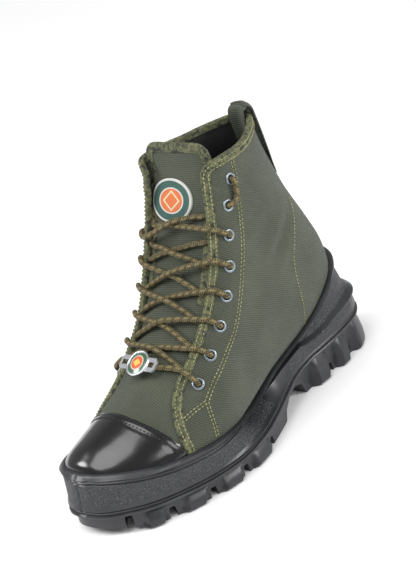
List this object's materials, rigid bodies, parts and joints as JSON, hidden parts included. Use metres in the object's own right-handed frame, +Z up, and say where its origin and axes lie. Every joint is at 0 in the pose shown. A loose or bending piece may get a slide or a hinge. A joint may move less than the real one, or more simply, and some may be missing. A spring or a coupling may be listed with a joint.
{
  "type": "jungle boot",
  "caption": "Ankle-high laced canvas boot with a leather toe cap, a tongue behind an open throat and a moulded cup sole with lugs.",
  "frame": {"origin": "under the middle of the boot's bounding box, on the floor", "axes": "+X to the toe, +Y to the outer side of the left foot, +Z up"},
  "size_m": [0.3082, 0.1124, 0.227],
  "materials": {
    "rubber": "matt moulded rubber",
    "board": "lined board",
    "canvas": "olive grey twill",
    "leather": "polished smooth leather",
    "tongue_canvas": "olive grey twill",
    "steel": "bright pressed steel",
    "tape": "woven tape with dark patches",
    "webbing": "folded woven webbing",
    "patch": "embroidered round patch",
    "lace_cord": "braided round cord",
    "silver": "bright cast metal with a domed middle"
  },
  "bodies": {
    "root": {"sole": "rubber", "insole": "board", "upper": "canvas", "toe_cap": "leather", "tongue": "tongue_canvas", "binding": "tape", "pull_loop": "webbing", "tongue_patch": "patch", "eyelet_outer_1": "steel", "eyelet_outer_2": "steel", "eyelet_outer_3": "steel", "eyelet_outer_4": "steel", "eyelet_outer_5": "steel", "eyelet_outer_6": "steel", "eyelet_outer_7": "steel", "eyelet_outer_8": "steel", "eyelet_inner_1": "steel", "eyelet_inner_2": "steel", "eyelet_inner_3": "steel", "eyelet_inner_4": "steel", "eyelet_inner_5": "steel", "eyelet_inner_6": "steel", "eyelet_inner_7": "steel", "eyelet_inner_8": "steel", "lace_crossing_1": "lace_cord", "lace_crossing_2": "lace_cord", "lace_crossing_3": "lace_cord", "lace_crossing_4": "lace_cord", "lace_crossing_5": "lace_cord", "lace_crossing_6": "lace_cord", "lace_bar_bottom": "lace_cord", "lace_bar_outer": "lace_cord", "lace_bar_inner": "lace_cord", "lace_tag": "silver"}
  },
  "joints": []
}
